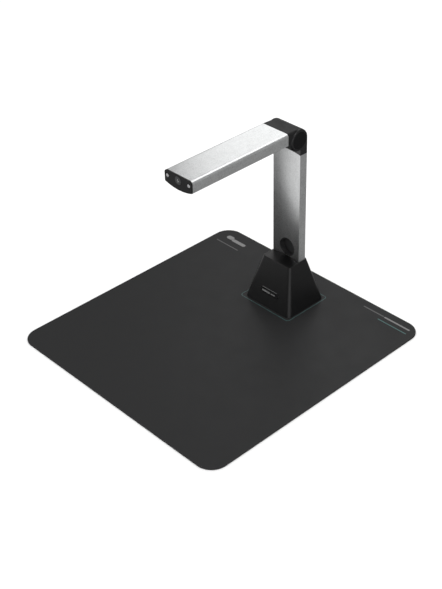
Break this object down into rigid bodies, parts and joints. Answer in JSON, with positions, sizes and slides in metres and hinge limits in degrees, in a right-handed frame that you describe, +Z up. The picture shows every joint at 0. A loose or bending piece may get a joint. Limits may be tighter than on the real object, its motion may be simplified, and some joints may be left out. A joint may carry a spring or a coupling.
{
  "type": "document camera",
  "caption": "Desktop document camera: tapered base with an upright aluminium tower, a folding arm with lens and light above a flat scanning mat.",
  "frame": {"origin": "centre of the mat's underside, on the table", "axes": "+Z up, the user sits at -Y, +X to the user's right, the arm reaches towards -Y"},
  "size_m": [0.376, 0.391, 0.2715],
  "materials": {
    "mat_rubber": "matt foam rubber",
    "mat_surface": "satin printed film",
    "gloss_black": "polished black ABS",
    "label_black": "polished black",
    "matt_black": "matt black",
    "satin_black": "fine satin black",
    "foot_rubber": "matt rubber",
    "ballast_steel": "zinc plated",
    "screw_steel": "nickel plated",
    "shaft_steel": "ground steel",
    "circuit_board": "solder mask",
    "socket_metal": "nickel plated",
    "connector_white": "nylon",
    "anodised_aluminium": "bead blasted and anodised",
    "bracket_alloy": "as cast",
    "cable_black": "PVC",
    "cable_white": "ribbon film",
    "lens_glass": "coated glass",
    "sensor": "silicon",
    "diffuser": "opal acrylic",
    "led_yellow": "phosphor",
    "brass": "turned",
    "chip_black": "moulded epoxy",
    "washer_black": "friction lining",
    "button_grey": "translucent grey"
  },
  "bodies": {
    "mat": {"mat_backing": "mat_rubber", "mat_top": "mat_surface"},
    "stand": {"base_housing": "gloss_black", "label_plate": "label_black", "base_plate": "matt_black", "base_feet": "foot_rubber", "ballast": "ballast_steel", "base_screws": "screw_steel", "frame_screws": "screw_steel", "usb_board": "circuit_board", "usb_board_screws": "screw_steel", "usb_socket": "socket_metal", "board_plug": "connector_white", "tower_tube": "anodised_aluminium", "lens_pocket": "matt_black", "tower_bracket": "bracket_alloy", "tower_screws": "screw_steel", "tower_cable": "cable_black", "tower_cap": "satin_black", "cap_screws": "screw_steel", "hinge_shaft": "shaft_steel", "hinge_screws": "screw_steel", "hinge_covers": "satin_black"},
    "button": {"light_button": "button_grey"},
    "arm": {"arm_cable": "cable_white", "arm_hinge_block": "satin_black", "arm_hinge_screws": "screw_steel", "arm_tube": "anodised_aluminium", "board_connectors": "connector_white", "board_posts": "brass", "board_screws": "screw_steel", "camera_board": "circuit_board", "end_cap": "satin_black", "end_cap_screws": "screw_steel", "friction_washers": "washer_black", "hinge_bushes": "brass", "hinge_springs": "shaft_steel", "image_sensor": "sensor", "led_board": "circuit_board", "led_window": "diffuser", "leds": "led_yellow", "lens_barrel": "matt_black", "lens_glass": "lens_glass", "lens_housing": "satin_black", "lens_mount": "matt_black", "light_switch": "connector_white", "main_board": "circuit_board", "main_chips": "chip_black", "switch_board": "circuit_board"}
  },
  "joints": [
    {"name": "stand_lift", "type": "slide", "parent": "mat", "child": "stand", "axis": [0, 0, 1], "range_m": [0, 0.06]},
    {"name": "arm_fold", "type": "hinge", "parent": "stand", "child": "arm", "pos_m": [0, 0.1236, 0.255], "axis": [1, 0, 0], "range_deg": [0, 90]},
    {"name": "button_press", "type": "slide", "parent": "arm", "child": "button", "axis": [0, 1, 0], "range_m": [0, 0.0006], "stiffness_N_per_m": 800, "springref_m": -0.0004}
  ]
}
